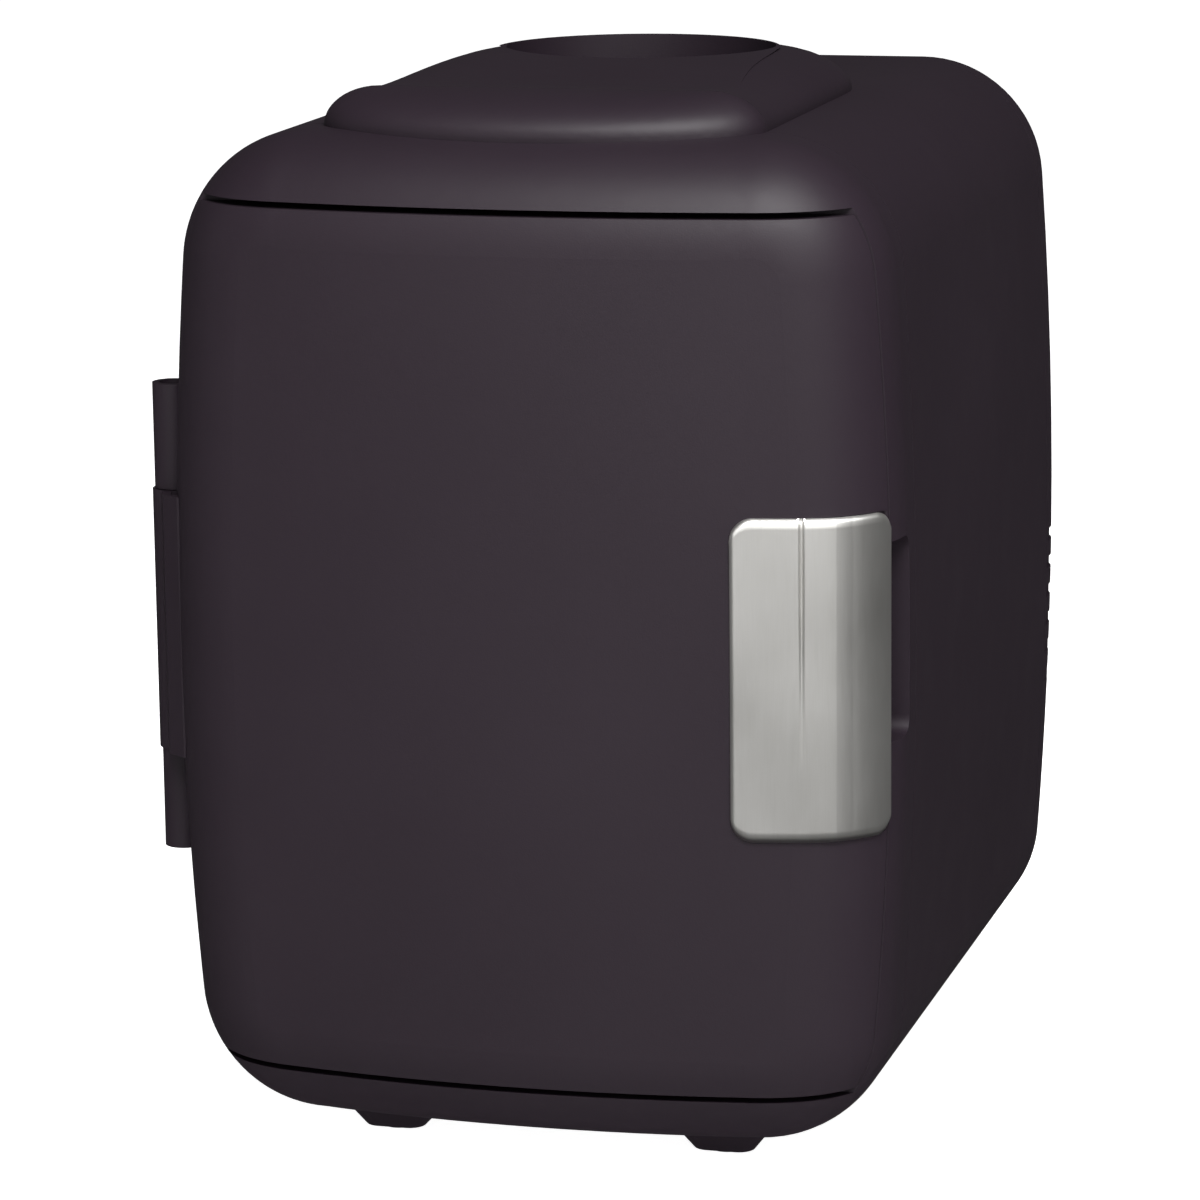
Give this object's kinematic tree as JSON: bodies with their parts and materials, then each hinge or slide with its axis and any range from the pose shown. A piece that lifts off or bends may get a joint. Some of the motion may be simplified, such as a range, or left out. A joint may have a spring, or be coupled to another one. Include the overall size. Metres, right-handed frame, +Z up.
{
  "type": "mini fridge",
  "caption": "Small thermoelectric fridge with a convex hinged door, bright handle plate, carrying pod with a hand hole on top, and a fan grille and sockets at the back.",
  "frame": {"origin": "on the floor, under the middle of the casing's width and depth", "axes": "+X to the right seen from the door, +Y from the door to the back, +Z up"},
  "size_m": [0.1897, 0.2355, 0.265],
  "materials": {
    "plum": "fine-grained matte plum-black plastic",
    "liner": "smooth pale grey plastic",
    "clear": "clear tinted plastic",
    "foam": "foam",
    "rubber": "soft black rubber",
    "chrome": "bright plated",
    "steel": "zinc plated steel",
    "alu": "extruded aluminium",
    "black": "black moulded plastic",
    "ceramic": "white ceramic",
    "board": "green circuit board with parts",
    "magnet": "bonded ferrite strip"
  },
  "bodies": {
    "casing": {"front_frame": "plum", "rear_shell": "plum", "back_cover": "plum", "feet": "plum", "inner_liner": "liner", "fan_cover": "liner", "body_foam": "foam", "module_gasket": "rubber", "foot_pads": "rubber", "hinge_pin": "steel", "keeper_frame": "steel", "cover_screws": "steel", "clamp_screws": "steel", "fan_cover_screws": "steel", "inner_fan_screws": "steel", "rear_fan_screws": "steel", "board_screws": "steel", "supply_screws": "steel", "cold_sink": "alu", "hot_sink": "alu", "spacer_block": "alu", "peltier_module": "ceramic", "inner_fan_frame": "black", "rear_fan_frame": "black", "mains_inlet": "black", "dc_socket": "black", "switch_bezel": "black", "control_board": "board", "power_supply": "board"},
    "door": {"door_shell": "plum", "door_liner": "liner", "door_foam": "foam", "door_seal": "rubber", "seal_magnets": "magnet", "handle_plate": "chrome"},
    "bin": {"door_bin": "clear"},
    "shelf_body": {"shelf": "clear"},
    "inner_fan_wheel": {"inner_impeller": "black"},
    "rear_fan_wheel": {"rear_impeller": "black"},
    "rocker": {"power_rocker": "black"}
  },
  "joints": [
    {"name": "door_hinge", "type": "hinge", "parent": "casing", "child": "door", "pos_m": [-0.0928, -0.084, 0.132], "axis": [0, 0, -1], "range_deg": [0, 120]},
    {"name": "bin_lift", "type": "slide", "parent": "door", "child": "bin", "axis": [0, 0, 1], "range_m": [0, 0.01]},
    {"name": "shelf_slide", "type": "slide", "parent": "casing", "child": "shelf_body", "axis": [0, -1, 0], "range_m": [0, 0.005]},
    {"name": "inner_fan_spin", "type": "hinge", "parent": "casing", "child": "inner_fan_wheel", "pos_m": [0, 0.012, 0.147], "axis": [0, 1, 0], "continuous": true},
    {"name": "rear_fan_spin", "type": "hinge", "parent": "casing", "child": "rear_fan_wheel", "pos_m": [0, 0.094, 0.147], "axis": [0, 1, 0], "continuous": true},
    {"name": "rocker_tilt", "type": "hinge", "parent": "casing", "child": "rocker", "pos_m": [0, 0.113, 0.05], "axis": [1, 0, 0], "range_deg": [-10, 10]}
  ]
}
